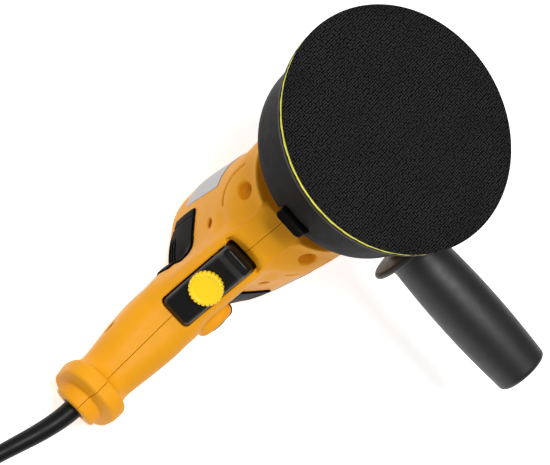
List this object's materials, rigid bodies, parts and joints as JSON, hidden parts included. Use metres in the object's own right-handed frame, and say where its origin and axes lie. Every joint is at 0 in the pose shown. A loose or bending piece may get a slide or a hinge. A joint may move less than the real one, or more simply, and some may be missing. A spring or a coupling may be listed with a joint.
{
  "type": "rotary polisher",
  "caption": "Corded rotary polisher with a hook-faced pad, motor head, rear trigger grip with speed dial, side handle, spindle lock and cord with plug.",
  "frame": {"origin": "on the spindle axis, in the plane of the flat back of the head on which the machine rests with its pad up", "axes": "+Z along the spindle out of the pad; the rear grip runs towards -X; the side handle towards -Y"},
  "size_m": [0.4459, 0.3012, 0.2],
  "materials": {
    "hook_nylon": "woven hook face",
    "foam": "closed-cell foam",
    "plate_rubber": "moulded",
    "shroud_plastic": "fine texture",
    "orange_plastic": "fine texture",
    "black_plastic": "fine texture",
    "trigger_plastic": "polished",
    "dial_plastic": "satin",
    "handle_plastic": "satin",
    "steel": "plain",
    "zinc_steel": "zinc plated",
    "cast_aluminium": "as cast",
    "laminated_steel": "laminated",
    "copper": "enamelled copper",
    "brass": "plain",
    "carbon": "carbon block",
    "capacitor_plastic": "moulded",
    "foil": "satin foil",
    "cord_rubber": "smooth jacket"
  },
  "bodies": {
    "machine": {"shroud": "shroud_plastic", "shroud_screws": "zinc_steel", "lock_spring": "steel", "spindle_front_bearing": "steel", "spindle_rear_bearing": "steel", "bearing_retainer": "steel", "gear_housing": "cast_aluminium", "gear_cover": "cast_aluminium", "gear_cover_screws": "zinc_steel", "housing_right": "orange_plastic", "housing_left": "orange_plastic", "housing_screws": "zinc_steel", "vent_cover_right": "black_plastic", "vent_cover_left": "black_plastic", "label_plate_right": "foil", "label_plate_left": "foil", "motor_front_bearing": "steel", "motor_rear_bearing": "steel", "stator_core": "laminated_steel", "field_coils": "copper", "brush_holders": "brass", "carbon_brushes": "carbon", "brush_springs": "steel", "switch_body": "black_plastic", "noise_capacitor": "capacitor_plastic", "side_handle_grip": "handle_plastic", "side_handle_stud": "zinc_steel", "strain_relief": "cord_rubber", "cord_clamp": "black_plastic", "cord_clamp_screws": "zinc_steel", "power_cord": "cord_rubber", "cord_coil": "cord_rubber", "plug_body": "cord_rubber", "plug_pins": "steel"},
    "spindle": {"spindle": "steel", "spindle_gear": "steel", "backing_plate": "plate_rubber", "foam_layer": "foam", "hook_pad": "hook_nylon"},
    "armature": {"armature_shaft": "steel", "armature_core": "laminated_steel", "armature_windings": "copper", "commutator": "copper", "pinion": "steel", "cooling_fan": "black_plastic"},
    "trigger": {"trigger": "trigger_plastic"},
    "speed_dial": {"speed_dial": "dial_plastic"},
    "spindle_lock": {"spindle_lock_button": "black_plastic", "lock_pin": "steel"},
    "lock_on": {"lock_on_button": "black_plastic"}
  },
  "joints": [
    {"name": "spindle_spin", "type": "hinge", "parent": "machine", "child": "spindle", "pos_m": [0, 0, 0.14], "axis": [0, 0, 1], "continuous": true},
    {"name": "armature_spin", "type": "hinge", "parent": "machine", "child": "armature", "pos_m": [-0.03, 0, 0.07], "axis": [0, 0, 1], "continuous": true},
    {"name": "trigger_squeeze", "type": "slide", "parent": "machine", "child": "trigger", "axis": [0.7071, 0, -0.7071], "range_m": [0, 0.005], "stiffness_N_per_m": 900, "springref_m": -0.004},
    {"name": "speed_dial_turn", "type": "hinge", "parent": "trigger", "child": "speed_dial", "pos_m": [-0.097, 0, 0.0765], "axis": [-0.7071, 0, 0.7071], "range_deg": [0, 300]},
    {"name": "spindle_lock_press", "type": "slide", "parent": "machine", "child": "spindle_lock", "axis": [1, 0, 0], "range_m": [0, 0.005], "stiffness_N_per_m": 600, "springref_m": -0.004},
    {"name": "lock_on_press", "type": "slide", "parent": "machine", "child": "lock_on", "axis": [0, 1, 0], "range_m": [0, 0.003], "stiffness_N_per_m": 500, "springref_m": -0.003}
  ],
  "couplings": [
    {"joint": "armature_spin", "follows": "spindle_spin", "ratio": -4}
  ]
}
